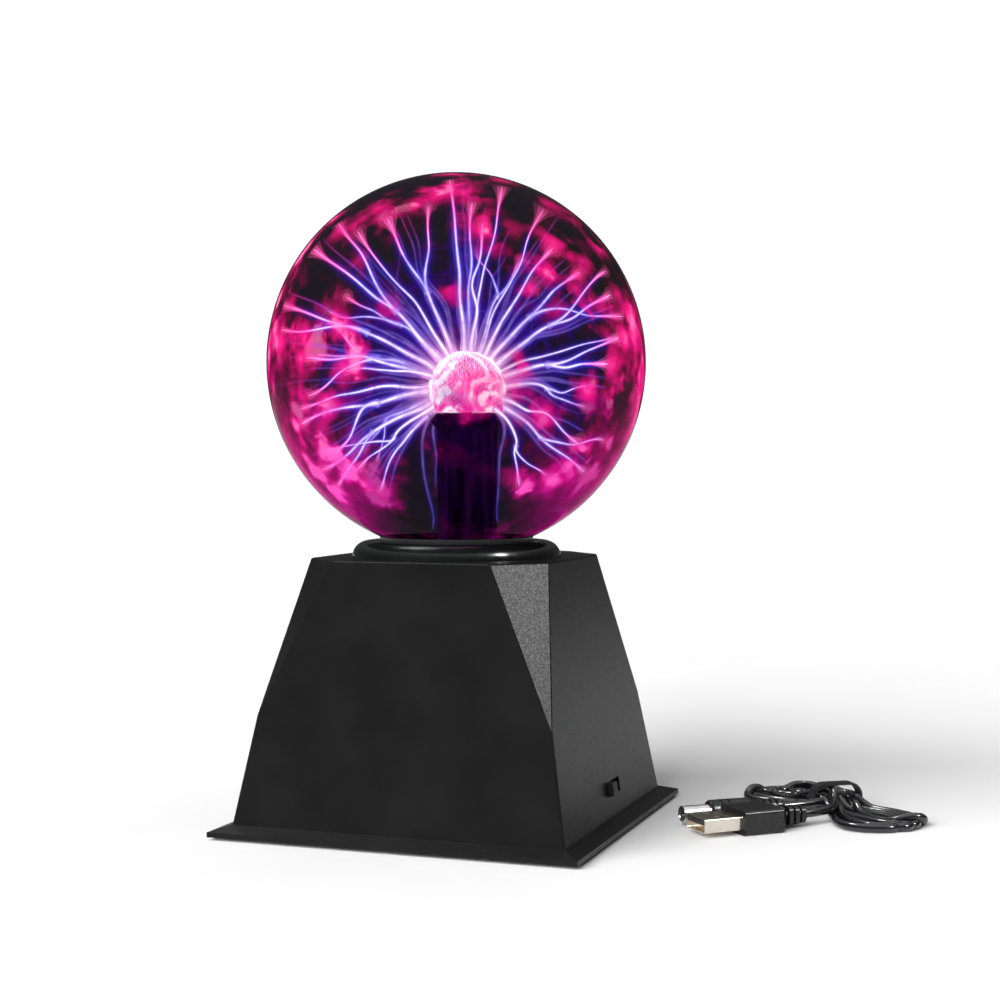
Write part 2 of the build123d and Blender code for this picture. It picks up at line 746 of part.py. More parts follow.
with BuildPart() as usb_overmold:
    with BuildSketch(usb_plane.offset(usb_body_start + 3)):
        RectangleRounded(usb_body_height, usb_body_width, 1.2)
    extrude(amount=usb_body_end - usb_body_start - 3)
    with BuildSketch(usb_plane.offset(usb_body_start)):
        RectangleRounded(6.4, 8.6, 1.2)
    with BuildSketch(usb_plane.offset(usb_body_start + 3)):
        RectangleRounded(usb_body_height, usb_body_width, 1.2)
    loft()
    with BuildSketch(usb_plane):
        Circle(2.3)
    extrude(amount=usb_body_start)
    for rib in range(3):
        with BuildSketch(usb_plane.offset(1.0 + rib * 2.6)):
            RectangleRounded(5.4 + rib * 0.4, 6.2 + rib * 0.6, 1.6)
        extrude(amount=1.5)
    with BuildSketch(usb_plane.offset(usb_body_end)):
        RectangleRounded(usb_shell_height, usb_shell_width, 0.5)
    extrude(amount=-usb_socket, mode=Mode.SUBTRACT)
save(usb_overmold, "usb_overmold")

with BuildPart() as usb_shell:
    with BuildSketch(usb_plane.offset(usb_body_end - usb_socket)):
        RectangleRounded(usb_shell_height, usb_shell_width, 0.5)
        offset(amount=-usb_metal, mode=Mode.SUBTRACT)
    extrude(amount=usb_shell_length + usb_socket)
    with BuildSketch(Plane(origin=usb_plane.origin, x_dir=usb_plane.z_dir, z_dir=(0, 0, 1))):
        with Locations((usb_body_end + usb_shell_length - 6.8, 0)):
            with GridLocations(0, 5.6, 1, 2):
                Rectangle(2.2, 2.2)
    extrude(amount=4, both=True, mode=Mode.SUBTRACT)
save(usb_shell, "usb_shell")

with BuildPart() as usb_tongue:
    with BuildSketch(usb_plane.offset(usb_body_end - usb_socket)):
        RectangleRounded(usb_shell_height - 2 * usb_metal, usb_shell_width - 2 * usb_metal, 0.3)
    extrude(amount=usb_socket)
    with BuildSketch(usb_plane.offset(usb_body_end)):
        with Locations((0.9, 0)):
            Rectangle(1.9, 11.0)
    extrude(amount=usb_shell_length - 0.8)
save(usb_tongue, "usb_tongue")

with BuildPart() as usb_contacts:
    with BuildSketch(usb_plane.offset(usb_body_end + 2)):
        for across, width in ((-3.5, 1.4), (-1.0, 1.2), (1.0, 1.2), (3.5, 1.4)):
            with Locations((-0.15, across)):
                Rectangle(0.2, width)
    extrude(amount=usb_shell_length - 4)
save(usb_contacts, "usb_contacts")

# Two leads run from the plugs to the tied waist of the hank.
BARREL_ROUTE = [(-21.0, -12.6, 4.0), (-14.92, -10.3, 4.0), (-9.9, -7.9, 4.2), (-5.4, -5.3, 4.5)]
USB_ROUTE = [
    (-15.0, -24.2, 4.0),
    (-9.05, -21.59, 4.0),
    (-4.9, -17.2, 4.2),
    (-2.6, -11.8, 4.4),
    (-1.8, -6.2, 4.6),
]


def cord_run(route):
    """Tube along a list of plan points, each arc as large as its runs allow."""
    points = [lay(*point) for point in route]
    bends = []
    for before, here, after in zip(points, points[1:], points[2:]):
        run_in = here - before
        run_out = after - here
        half_turn = math.radians(run_in.get_angle(run_out)) / 2
        bends.append(0.45 * min(run_in.length, run_out.length) / math.tan(half_turn))
    length = sum((b - a).length for a, b in zip(points, points[1:]))
    print("cord run, bends", [round(bend, 1) for bend in bends], "runs together", round(length, 1))
    return wire(points, bends, cord_radius)


for name, route in (("barrel_lead", BARREL_ROUTE), ("usb_lead", USB_ROUTE)):
    with BuildPart() as lead:
        add(cord_run(route))
    save(lead, name)

# Outer shape of the tied hank: lobes fan out from the tie (angle, length, width).
hank_height = 10.0
waist_radius = 8.4
UPPER_LOBES = [(139, 38, 15), (122, 36, 22), (103, 31, 20), (84, 29, 16), (60, 24, 16)]
LOWER_LOBES = [(-48, 37, 10), (-55, 37, 12), (-62, 36, 12)]
tie_heading = 105.0            # the bundle's direction through the tie
tie_width = 4.0
tie_thick = 0.9
tie_across = 18.4
tie_bore = (tie_across - 2 * tie_thick, hank_height - 2 * tie_thick, 3.9)      # width, height, corner
tie_plane = Plane(
    origin=lay(0, 0, hank_height / 2),
    x_dir=lay_direction(tie_heading - 90),
    z_dir=lay_direction(tie_heading),
)
with BuildPart() as twist_tie:
    with BuildSketch(tie_plane.offset(-tie_width / 2)):
        RectangleRounded(tie_across, hank_height, 4.8)
        RectangleRounded(*tie_bore, mode=Mode.SUBTRACT)
    extrude(amount=tie_width)
save(twist_tie, "twist_tie")

with BuildPart() as lead_hank:
    with BuildSketch(Plane(origin=lay(0, 0, 0), x_dir=right_axis, z_dir=(0, 0, 1))):
        Circle(waist_radius)
        for angle, length, width in UPPER_LOBES + LOWER_LOBES:
            with Locations(Location((0, 0, 0), (0, 0, angle))):
                with Locations((length / 2, 0)):
                    Ellipse(length / 2, width / 2)
        with Locations((8, -24)):
            Ellipse(10, 14)
        with Locations((1, -31)):
            Ellipse(12.5, 8)
    extrude(amount=hank_height)
    with BuildSketch(tie_plane.offset(-tie_width / 2)):
        Rectangle(tie_across + 4, hank_height + 2)
        RectangleRounded(*tie_bore, mode=Mode.SUBTRACT)
    extrude(amount=tie_width, mode=Mode.SUBTRACT)
save(lead_hank, "lead_hank")
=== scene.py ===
import math
import random

import bmesh
import bpy
import numpy as np
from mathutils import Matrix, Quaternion, Vector, noise


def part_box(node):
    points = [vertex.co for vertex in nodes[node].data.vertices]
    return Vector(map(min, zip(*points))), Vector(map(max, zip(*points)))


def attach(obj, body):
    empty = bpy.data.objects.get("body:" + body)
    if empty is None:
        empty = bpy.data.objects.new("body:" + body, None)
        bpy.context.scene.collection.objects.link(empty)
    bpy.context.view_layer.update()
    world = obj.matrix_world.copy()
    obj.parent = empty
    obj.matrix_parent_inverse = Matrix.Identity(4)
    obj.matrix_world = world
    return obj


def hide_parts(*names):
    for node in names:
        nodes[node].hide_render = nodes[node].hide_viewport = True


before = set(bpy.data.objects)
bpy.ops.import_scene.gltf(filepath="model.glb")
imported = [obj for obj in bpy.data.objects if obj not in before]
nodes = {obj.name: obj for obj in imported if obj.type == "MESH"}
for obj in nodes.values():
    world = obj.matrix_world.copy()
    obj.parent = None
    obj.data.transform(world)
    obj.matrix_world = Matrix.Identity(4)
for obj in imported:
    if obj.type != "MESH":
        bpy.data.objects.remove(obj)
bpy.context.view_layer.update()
scene = bpy.context.scene
MM = 0.001

# ==== Places read from the frame ==================================================
globe_low, globe_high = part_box("glass_globe")
globe_radius = (globe_high.x - globe_low.x) / 2
globe_centre = Vector((0, 0, globe_high.z - globe_radius))
glass_thick = 2.0 * MM
neck_radius = 18.0 * MM
globe_rings = 64
globe_sides = 128
core_low, core_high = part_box("electrode_core")
core_radius = (core_high.x - core_low.x) / 2
bulb_centre = Vector(((core_high.x + core_low.x) / 2, (core_high.y + core_low.y) / 2,
                      core_high.z - core_radius))
bulb_radius = core_radius + 1.3 * MM
bulb_foot = core_low.z

# ==== Camera ======================================================================
# The object is seen three-quarter on, from a little above the middle of the base.
view_turn = math.radians(19.52)
view_drop = math.radians(1.52)
view_distance = 607.9 * MM
view_height = 123.4 * MM
view_aside = 14.6 * MM
view_right = Vector((math.cos(view_turn), math.sin(view_turn), 0))
view_back = Vector((math.sin(view_turn), -math.cos(view_turn), 0))
camera_data = bpy.data.cameras.new("view_camera")
camera_data.lens = 64.96
camera_data.sensor_width = 36
camera_data.clip_start = 0.01
camera = bpy.data.objects.new("view_camera", camera_data)
camera.location = view_back * view_distance + view_right * view_aside + Vector((0, 0, view_height))
camera.rotation_euler = (math.pi / 2 - view_drop, 0, view_turn)
scene.collection.objects.link(camera)
scene.camera = camera
scene.view_settings.view_transform = "Standard"
scene.cycles.transparent_max_bounces = 256
scene.cycles.min_transparent_bounces = 256


# ==== Node tools ==================================================================
class Finish:
    """A material with short calls for its nodes."""

    def __init__(self, name, **sockets):
        self.material = bpy.data.materials.new(name)
        self.material.use_nodes = True
        self.tree = self.material.node_tree
        self.shader = self.tree.nodes["Principled BSDF"]
        self.place = self.add("TexCoord").outputs["Object"]
        for socket, value in sockets.items():
            self.shader.inputs[socket.replace("_", " ")].default_value = value

    def add(self, kind, inputs=None, **settings):
        node = self.tree.nodes.new("ShaderNode" + kind)
        for key, value in settings.items():
            setattr(node, key, value)
        for key, value in (inputs or {}).items():
            self.feed(value, node.inputs[key])
        return node

    def feed(self, value, socket):
        if isinstance(value, bpy.types.NodeSocket):
            self.tree.links.new(value, socket)
        else:
            socket.default_value = value

    def noise(self, size, detail=3.0, rough=0.5, warp=0.0, place=None):
        """Noise whose features are about size metres across."""
        inputs = {"Vector": place or self.place, "Scale": 1 / size, "Detail": detail,
                  "Roughness": rough, "Distortion": warp}
        return self.add("TexNoise", inputs).outputs["Fac"]

    def math(self, operation, a, b=0.0, clamp=False):
        node = self.add("Math", operation=operation, use_clamp=clamp)
        self.feed(a, node.inputs[0])
        self.feed(b, node.inputs[1])
        return node.outputs[0]

    def ramp(self, value, stops, smooth=False):
        """Colour or grey ramp: stops are (place, colour or number)."""
        node = self.add("ValToRGB", {"Fac": value})
        if smooth:
            node.color_ramp.interpolation = "EASE"
        while len(node.color_ramp.elements) < len(stops):
            node.color_ramp.elements.new(0.5)
        for element, (spot, colour) in zip(node.color_ramp.elements, stops):
            element.position = spot
            shade = colour if isinstance(colour, tuple) else (colour, colour, colour)
            element.color = (*shade, 1)
        return node.outputs["Color"]

    def range(self, value, low, high, to_low=0.0, to_high=1.0):
        inputs = {"Value": value, "From Min": low, "From Max": high, "To Min": to_low, "To Max": to_high}
        return self.add("MapRange", inputs).outputs["Result"]

    def bump(self, height, depth, strength=1.0):
        inputs = {"Height": height, "Distance": depth, "Strength": strength}
        self.feed(self.add("Bump", inputs).outputs["Normal"], self.shader.inputs["Normal"])

    def set(self, socket, value):
        self.feed(value, self.shader.inputs[socket])


def tint(colour, factor):
    return tuple(channel * factor for channel in colour)


def moulded(name, colour, roughness, grain=0.4 * MM, depth=0.03 * MM, mottle=0.2, **sockets):
    """Moulded plastic or rubber: fine grain, slow colour drift, uneven gloss."""
    finish = Finish(name, **sockets)
    drift = finish.noise(14 * MM, detail=4)
    finish.set("Base Color", finish.ramp(drift, [(0.3, tint(colour, 1 - mottle)), (0.7, tint(colour, 1 + mottle))]))
    fine = finish.noise(grain, detail=2, rough=0.6)
    finish.set("Roughness", finish.range(fine, 0.3, 0.7, roughness - 0.06, roughness + 0.06))
    finish.bump(fine, depth)
    return finish.material


def metal(name, colour, roughness, streak=0.15 * MM, along="Z", depth=0.004 * MM):
    """Drawn or plated metal: fine streaks along one axis and a little staining."""
    finish = Finish(name, Metallic=1.0)
    stretch = {"X": (0.06, 1, 1), "Y": (1, 0.06, 1), "Z": (1, 1, 0.06)}[along]
    drawn = finish.add("Mapping", {"Vector": finish.place, "Scale": stretch}).outputs["Vector"]
    lines = finish.noise(streak, detail=2, place=drawn)
    stain = finish.noise(5 * MM, detail=3)
    finish.set("Base Color", finish.ramp(stain, [(0.3, tint(colour, 0.82)), (0.65, colour)]))
    finish.set("Roughness", finish.range(lines, 0.3, 0.7, roughness * 0.7, roughness * 1.3))
    finish.bump(lines, depth)
    return finish.material


def cover(node_name, material):
    """Give a CAD node this material in all its slots."""
    mesh = nodes[node_name].data
    if not mesh.materials:
        mesh.materials.append(material)
    for index in range(len(mesh.materials)):
        mesh.materials[index] = material


# ==== Mesh tools ==================================================================
def new_piece(name, vertices, faces, material, body, power=None):
    mesh = bpy.data.meshes.new(name)
    mesh.from_pydata([tuple(v) for v in vertices], [], faces)
    mesh.update()
    mesh.polygons.foreach_set("use_smooth", [True] * len(mesh.polygons))
    if power is not None:
        mesh.attributes.new("power", "FLOAT", "POINT").data.foreach_set("value", power)
    mesh.materials.append(material)
    piece = bpy.data.objects.new(name, mesh)
    scene.collection.objects.link(piece)
    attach(piece, body)
    return piece


def frames_along(points):
    """Unit side and up vectors at each point, carried along without twist."""
    tangents = []
    for index in range(len(points)):
        before = points[max(index - 1, 0)]
        after = points[min(index + 1, len(points) - 1)]
        tangents.append((after - before).normalized())
    side = tangents[0].orthogonal().normalized()
    result = []
    for tangent in tangents:
        side = (side - tangent * side.dot(tangent)).normalized()
        result.append((side, tangent.cross(side)))
    return result


def add_tube(vertices, faces, power, points, radii, strengths, sides=8):
    """Append one closed tube of changing radius to the lists."""
    first = len(vertices)
    for point, (side, up), radius, strength in zip(points, frames_along(points), radii, strengths):
        for step in range(sides):
            turn = 2 * math.pi * step / sides
            vertices.append(point + side * (math.cos(turn) * radius) + up * (math.sin(turn) * radius))
            power.append(strength)
    rings = len(points)
    for ring in range(rings - 1):
        for step in range(sides):
            a = first + ring * sides + step
            b = first + ring * sides + (step + 1) % sides
            faces.append((a, b, b + sides, a + sides))
    faces.append(tuple(first + step for step in reversed(range(sides))))
    faces.append(tuple(first + (rings - 1) * sides + step for step in range(sides)))


# ==== Power lead ==================================================================
# The plan axes start at the tie: right and away as the camera sees them.
cord_radius = 1.5
cord_width = 2 * cord_radius
lay_turn = math.radians(19.5)
tie_right = 130.0
tie_away = 10.0
right_axis = Vector((math.cos(lay_turn), math.sin(lay_turn), 0))
away_axis = Vector((-math.sin(lay_turn), math.cos(lay_turn), 0))
BARREL_ROUTE = [(-21.0, -12.6, 4.0), (-14.92, -10.3, 4.0), (-9.9, -7.9, 4.2), (-5.4, -5.3, 4.5)]
USB_ROUTE = [(-15.0, -24.2, 4.0), (-9.05, -21.59, 4.0), (-4.9, -17.2, 4.2), (-2.6, -11.8, 4.4), (-1.8, -6.2, 4.6)]
# Loops of the hank in the order they were wound: angle, length, width.
UPPER_LOOPS = [(126, 38, 25), (139, 37, 20), (101, 32, 21), (80, 29, 19), (112, 35, 22)]
LOWER_LOOPS = [(-76, 39, 27), (-58, 38, 19), (-66, 40, 24), (-52, 38, 18)]
# Where each pass of the cord goes through the tie: across, height.
TIE_SLOTS = [(-4.8, 2.4), (-1.6, 2.4), (1.6, 2.4), (4.8, 2.4), (-6.4, 5.0),
             (-3.2, 5.0), (0.0, 5.0), (3.2, 5.0), (6.4, 5.0), (-1.6, 7.6)]
tie_heading = math.radians(105.0)
tie_reach = 3.0
loop_points = 26
loop_rise = 3.2


def lay(right, away, height):
    """Point in the frame for a place in the hank's plan, given in millimetres."""
    flat = right_axis * (tie_right + right) + away_axis * (tie_away + away)
    return Vector((flat.x, flat.y, height)) * MM


def tie_point(slot, along):
    """Plan point of a pass through the tie, along its heading from the middle."""
    across, height = TIE_SLOTS[slot]
    right = across * math.sin(tie_heading) + along * math.cos(tie_heading)
    away = -across * math.cos(tie_heading) + along * math.sin(tie_heading)
    return Vector((right, away, height))


def loop_path(angle, length, width, side, start, end, height):
    """Teardrop loop from one tie point back to another, lifted to its place in the pile."""
    axis = Vector((math.cos(math.radians(angle)), math.sin(math.radians(angle)), 0))
    across = Vector((-axis.y, axis.x, 0)) * side
    fullest = 0.65
    points = []
    for step in range(1, loop_points):
        turn = 2 * math.pi * step / loop_points
        out = (1 - math.cos(turn)) / 2
        swing = math.sin(turn) * out / fullest
        hold = max(0.0, 1 - 1.6 * out)
        anchor = start if step < loop_points / 2 else end
        point = axis * (length - cord_radius) * out + across * (width / 2 - cord_radius) * swing
        point = point + Vector((anchor.x, anchor.y, 0)) * hold
        point.z = anchor.z * hold + (height + cord_radius) * (1 - hold)
        points.append(point)
    return points


def hank_points():
    """The cord's points through the whole hank, and which of them are held."""
    points = []
    held = []

    def put(new, fixed):
        points.extend(new)
        held.extend([fixed] * len(new))

    put([Vector(point) for point in BARREL_ROUTE], True)
    loops = []
    for upper, lower in zip(UPPER_LOOPS, LOWER_LOOPS + [None]):
        loops += [upper, lower]
    for index, loop in enumerate(loops):
        up = 1 if index % 2 == 0 else -1
        put([tie_point(index, -tie_reach * up), tie_point(index, tie_reach * up)], True)
        if loop is None:
            break
        start = tie_point(index, tie_reach * up)
        end = tie_point(index + 1, tie_reach * up)
        turn = math.radians(loop[0])
        side = -1 if (end - start).dot(Vector((-math.sin(turn), math.cos(turn), 0))) > 0 else 1
        put(loop_path(*loop, side, start, end, index * loop_rise), False)
    put([Vector(point) for point in reversed(USB_ROUTE)], True)
    return np.array([tuple(point) for point in points]), np.array(held)


def settle(points, held, steps=420):
    """Let the loops sink under their weight until they lie on the table and on each other."""
    free = ~held
    plan = points.copy()
    rest = np.linalg.norm(np.diff(points[:, :2], axis=0), axis=1)
    count = len(points)
    order = np.arange(count)
    apart = np.abs(order[:, None] - order[None, :]) > 3
    for step in range(steps):
        points[free, 2] -= 0.10
        bow = np.zeros_like(points)
        bow[1:-1] = (points[:-2] + points[2:]) / 2 - points[1:-1]
        points[free] += 0.22 * bow[free]
        points[free, :2] += 0.03 * (plan[free, :2] - points[free, :2])
        for _ in range(3):
            run = np.diff(points, axis=0)
            length = np.linalg.norm(run, axis=1)
            pull = run * ((length - rest) / np.maximum(length, 1e-9) * 0.5)[:, None]
            move = np.zeros_like(points)
            move[:-1] += pull
            move[1:] -= pull
            points[free] += 0.5 * move[free]
        gap = points[:, None, :] - points[None, :, :]
        distance = np.linalg.norm(gap, axis=2)
        touch = apart & (distance < cord_width)
        push = np.where(touch, (cord_width - distance) / np.maximum(distance, 1e-6), 0.0)
        shift = (gap * push[:, :, None]).sum(axis=1) / np.maximum(touch.sum(axis=1), 1)[:, None]
        points[free] += 0.55 * shift[free]
        points[:, 2] = np.maximum(points[:, 2], cord_radius)
    return points


def spline_object(name, points, radius, material):
    """One open NURBS spline with a round section."""
    curve = bpy.data.curves.new(name, "CURVE")
    curve.dimensions = "3D"
    spline = curve.splines.new("NURBS")
    spline.points.add(len(points) - 1)
    for spot, point in zip(spline.points, points):
        spot.co = (*point, 1)
    spline.order_u = 3
    spline.use_endpoint_u = True
    spline.resolution_u = 6
    curve.bevel_depth = radius
    curve.bevel_resolution = 4
    curve.materials.append(material)
    piece = bpy.data.objects.new(name, curve)
    scene.collection.objects.link(piece)
    return piece


cord_finish = moulded("cord_pvc", (0.004, 0.004, 0.005), 0.20, grain=2.5 * MM, depth=0.006 * MM, mottle=0.3,
                      Coat_Weight=0.6, Coat_Roughness=0.08)
plan_points, plan_held = hank_points()
cord_points = settle(plan_points, plan_held)
cord = spline_object("power_cord", [lay(*point) for point in cord_points], cord_radius * MM, cord_finish)
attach(cord, "power_lead")
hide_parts("barrel_lead", "usb_lead", "lead_hank")


# ==== Finishes of the CAD nodes ===================================================
def base_finish():
    """Black ABS with a fine spark-eroded grain, as on the photographed base."""
    finish = Finish("base_plastic")
    finish.shader.inputs["Specular IOR Level"].default_value = 0.19
    drift = finish.noise(18 * MM, detail=4)
    finish.set("Base Color", finish.ramp(drift, [(0.35, (0.0038, 0.0038, 0.0040)), (0.65, (0.0056, 0.0056, 0.0058))]))
    fine = finish.noise(0.62 * MM, detail=2.5, rough=0.65)
    finish.set("Roughness", finish.range(fine, 0.3, 0.7, 0.28, 0.44))
    finish.bump(fine, 0.045 * MM)
    return finish.material


def collar_finish():
    """Glossy black moulding with faint long waves from the mould."""
    finish = Finish("collar_gloss", Coat_Weight=0.3, Coat_Roughness=0.06)
    drift = finish.noise(20 * MM, detail=3)
    finish.set("Base Color", finish.ramp(drift, [(0.3, (0.003, 0.0033, 0.0033)), (0.7, (0.0055, 0.006, 0.0059))]))
    finish.set("Roughness", finish.range(finish.noise(3 * MM), 0.3, 0.7, 0.16, 0.26))
    finish.bump(finish.noise(9 * MM, detail=1), 0.05 * MM)
    return finish.material


def globe_finish():
    """Dark violet glass that lets the discharge show through."""
    finish = Finish("globe_glass", Roughness=0.05, IOR=1.2)
    finish.shader.inputs["Specular IOR Level"].default_value = 0.012
    depth = finish.noise(40 * MM, detail=2)
    finish.set("Base Color", finish.ramp(depth, [(0.3, (0.001, 0.0, 0.002)), (0.7, (0.002, 0.0, 0.004))]))
    finish.set("Alpha", finish.range(depth, 0.3, 0.7, 0.84, 0.86))
    return finish.material


def glass_skin():
    """Outer face of the globe and its neck, as one smooth blown skin."""
    blend = 5.0 * MM
    reach = globe_radius + blend
    drop = math.sqrt(reach ** 2 - (neck_radius + blend) ** 2)
    tangent = math.atan2(neck_radius + blend, drop)
    profile = []
    for step in range(globe_rings + 1):
        turn = (math.pi - tangent) * step / globe_rings
        profile.append((globe_radius * math.sin(turn), globe_centre.z + globe_radius * math.cos(turn)))
    for step in range(1, 9):
        turn = (math.pi / 2 - tangent) * step / 8 + tangent
        out = neck_radius + blend - blend * math.sin(turn)
        profile.append((out, globe_centre.z - drop + blend * math.cos(turn)))
    foot = globe_low.z
    profile += [(neck_radius, globe_centre.z - drop - 2 * MM), (neck_radius, foot + 0.6 * MM),
                (neck_radius - 0.6 * MM, foot), (0.0, foot)]
    vertices, faces = [], []
    for out, height in profile[1:-1]:
        for step in range(globe_sides):
            turn = 2 * math.pi * step / globe_sides
            vertices.append((out * math.cos(turn), out * math.sin(turn), height))
    for ring in range(len(profile) - 3):
        for step in range(globe_sides):
            a = ring * globe_sides + step
            b = ring * globe_sides + (step + 1) % globe_sides
            faces.append((a, a + globe_sides, b + globe_sides, b))
    top, base = len(vertices), len(vertices) + 1
    vertices += [(0, 0, profile[0][1]), (0, 0, foot)]
    last = (len(profile) - 3) * globe_sides
    for step in range(globe_sides):
        after = (step + 1) % globe_sides
        faces.append((top, step, after))
        faces.append((base, last + after, last + step))
    skin = new_piece("glass_skin", vertices, faces, globe_finish(), "base")
    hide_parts("glass_globe")


def board_finish():
    """Green laminate with its woven glass showing faintly."""
    finish = Finish("board_laminate", Roughness=0.35)
    weave = finish.add("TexWave", {"Vector": finish.place, "Scale": 260.0, "Distortion": 1.5},
                       wave_type="BANDS", bands_direction="DIAGONAL").outputs["Fac"]
    finish.set("Base Color", finish.ramp(weave, [(0.2, (0.012, 0.075, 0.03)), (0.8, (0.02, 0.11, 0.045))]))
    finish.bump(weave, 0.01 * MM)
    return finish.material


def winding_finish(name, colour, pitch):
    """Wound wire or tape: even turns round the vertical axis."""
    finish = Finish(name, Roughness=0.4)
    turns = finish.add("TexWave", {"Vector": finish.place, "Scale": 1 / pitch, "Distortion": 0.6},
                       wave_type="BANDS", bands_direction="Z").outputs["Fac"]
    finish.set("Base Color", finish.ramp(turns, [(0.1, tint(colour, 0.55)), (0.6, colour)]))
    finish.bump(turns, 0.08 * MM)
    return finish.material


black = (0.006, 0.006, 0.0065)
cover("base_housing", base_finish())
cover("globe_collar", collar_finish())
glass_skin()
cover("circuit_board", board_finish())
cover("transformer_winding", winding_finish("winding_tape", (0.65, 0.42, 0.05), 3 * MM))
cover("resistors", winding_finish("resistor_body", (0.45, 0.30, 0.16), 5 * MM))
cover("base_plate", moulded("plate_plastic", black, 0.5, grain=0.5 * MM, depth=0.05 * MM))
cover("rubber_feet", moulded("foot_rubber", (0.02, 0.02, 0.02), 0.75, grain=0.8 * MM, depth=0.06 * MM))
cover("globe_seal", moulded("seal_silicone", (0.014, 0.013, 0.015), 0.4, grain=1.5 * MM))
cover("neck_adhesive", moulded("neck_silicone", (0.55, 0.55, 0.52), 0.4, grain=2 * MM, depth=0.2 * MM))
cover("transformer_core", moulded("ferrite", (0.035, 0.034, 0.036), 0.55, grain=0.6 * MM, depth=0.05 * MM))
cover("film_capacitors", moulded("film_capacitor_case", (0.30, 0.035, 0.02), 0.3, grain=3 * MM))
cover("electrolytic_capacitors", moulded("capacitor_sleeve", (0.015, 0.03, 0.09), 0.3, grain=4 * MM))
switch_plastic = moulded("black_plastic", black, 0.42, grain=0.5 * MM, depth=0.02 * MM)
for name in ("transformer_base", "power_transistor", "control_chip", "dc_jack", "dc_jack_nut"):
    cover(name, switch_plastic)
cover("switch_knob", moulded("knob_plastic", (0.010, 0.010, 0.011), 0.4, grain=0.7 * MM, depth=0.02 * MM))
plug_plastic = moulded("plug_plastic", (0.005, 0.005, 0.006), 0.30, grain=0.9 * MM, depth=0.012 * MM)
for name in ("barrel_overmold", "usb_overmold"):
    cover(name, plug_plastic)
cover("barrel_insulator", moulded("insulator_plastic", (0.02, 0.02, 0.022), 0.4))
cover("usb_tongue", moulded("tongue_plastic", (0.02, 0.02, 0.021), 0.45))
wire_finish = moulded("wire_insulation", (0.28, 0.015, 0.012), 0.4, grain=2 * MM)
cover("inlet_wires", wire_finish)
cover("switch_wires", moulded("signal_insulation", (0.015, 0.015, 0.016), 0.4, grain=2 * MM))
cover("hv_lead", moulded("hv_insulation", (0.35, 0.02, 0.015), 0.35, grain=2 * MM))
steel = metal("screw_steel", (0.42, 0.42, 0.43), 0.35, along="X")
for name in ("base_screws", "board_screws", "transistor_screw", "switch_screws"):
    cover(name, steel)
cover("switch_body", metal("switch_steel", (0.60, 0.60, 0.60), 0.3, along="Y"))
cover("heatsink", metal("heatsink_aluminium", (0.72, 0.72, 0.74), 0.4, along="Z"))
cover("microphone", metal("microphone_can", (0.68, 0.68, 0.66), 0.35, along="Z"))
nickel = metal("nickel", (0.78, 0.77, 0.75), 0.2, streak=0.25 * MM, along="X")
for name in ("barrel_sleeve", "dc_jack_pin"):
    cover(name, nickel)
cover("usb_shell", metal("shell_nickel", (0.80, 0.73, 0.64), 0.22, streak=0.3 * MM, along="X"))
cover("usb_contacts", metal("contact_brass", (0.83, 0.61, 0.26), 0.25, along="X"))
cover("twist_tie", moulded("tie_plastic", (0.010, 0.010, 0.011), 0.35, grain=1 * MM))


# ==== Discharge in the gas ========================================================
# Light has no solid in the frame: these pieces stand inside the globe and ride on the base.
gas_radius = globe_radius - glass_thick - 0.4 * MM
wall_radius = globe_radius - 0.35 * MM    # the curved glass makes the gas seem to reach its outer face
neck_clear = 19.0 * MM
gas_floor = globe_centre.z - math.sqrt(gas_radius ** 2 - neck_clear ** 2)
glass_gain = 10.5            # makes up for the dark glass in front
# Streamers as seen from the front: right and up in shares of the gas radius, near (1) or
# far (-1) wall, strength, fork in degrees, and how wide it flares on the glass.
STREAMERS = [
    (-0.03, 0.97, 1, 0.95, 0, 2.6), (0.08, 0.93, -1, 0.80, 0, 3.4), (0.25, 0.93, 1, 0.60, 0, 3.2),
    (0.15, 0.68, 1, 0.75, 0, 3.0), (0.36, 0.64, -1, 0.75, 14, 2.4), (0.51, 0.56, 1, 0.80, 0, 3.2),
    (0.70, 0.55, -1, 0.95, -24, 3.0), (0.47, 0.80, 1, 0.50, 0, 4.0), (0.82, 0.34, 1, 0.85, 12, 2.6),
    (0.92, 0.17, -1, 0.55, 0, 3.6), (0.80, -0.03, 1, 0.95, 13, 3.0), (0.74, -0.22, -1, 0.85, 10, 2.6),
    (0.64, -0.44, 1, 0.70, 0, 3.8), (0.72, -0.60, -1, 0.85, 15, 3.0), (0.34, -0.66, 1, 0.60, 10, 2.4),
    (0.23, -0.86, 1, 0.20, 0, 1.2), (-0.12, -0.90, 1, 0.24, 0, 1.2), (-0.14, -0.70, -1, 0.30, 0, 1.4),
    (-0.50, -0.58, 1, 0.65, -12, 3.0), (-0.56, -0.45, -1, 0.75, 10, 2.6), (-0.80, -0.34, 1, 1.00, 16, 2.4),
    (-0.82, 0.08, -1, 1.00, -12, 2.6), (-0.92, 0.30, 1, 0.90, 10, 2.6), (-0.76, 0.00, 1, 0.85, 14, 3.0),
    (-0.54, -0.08, 1, 0.55, 0, 2.6), (-0.76, 0.60, 1, 1.00, -10, 3.4), (-0.66, 0.42, -1, 0.80, 8, 3.0),
    (-0.40, 0.84, -1, 0.95, -13, 3.6), (-0.50, 0.66, 1, 0.65, 0, 3.2), (-0.70, -0.58, 1, 0.95, 8, 2.6),
    (-0.46, -0.72, -1, 0.70, 0, 2.6), (-0.90, -0.24, -1, 0.80, 0, 2.6),
]
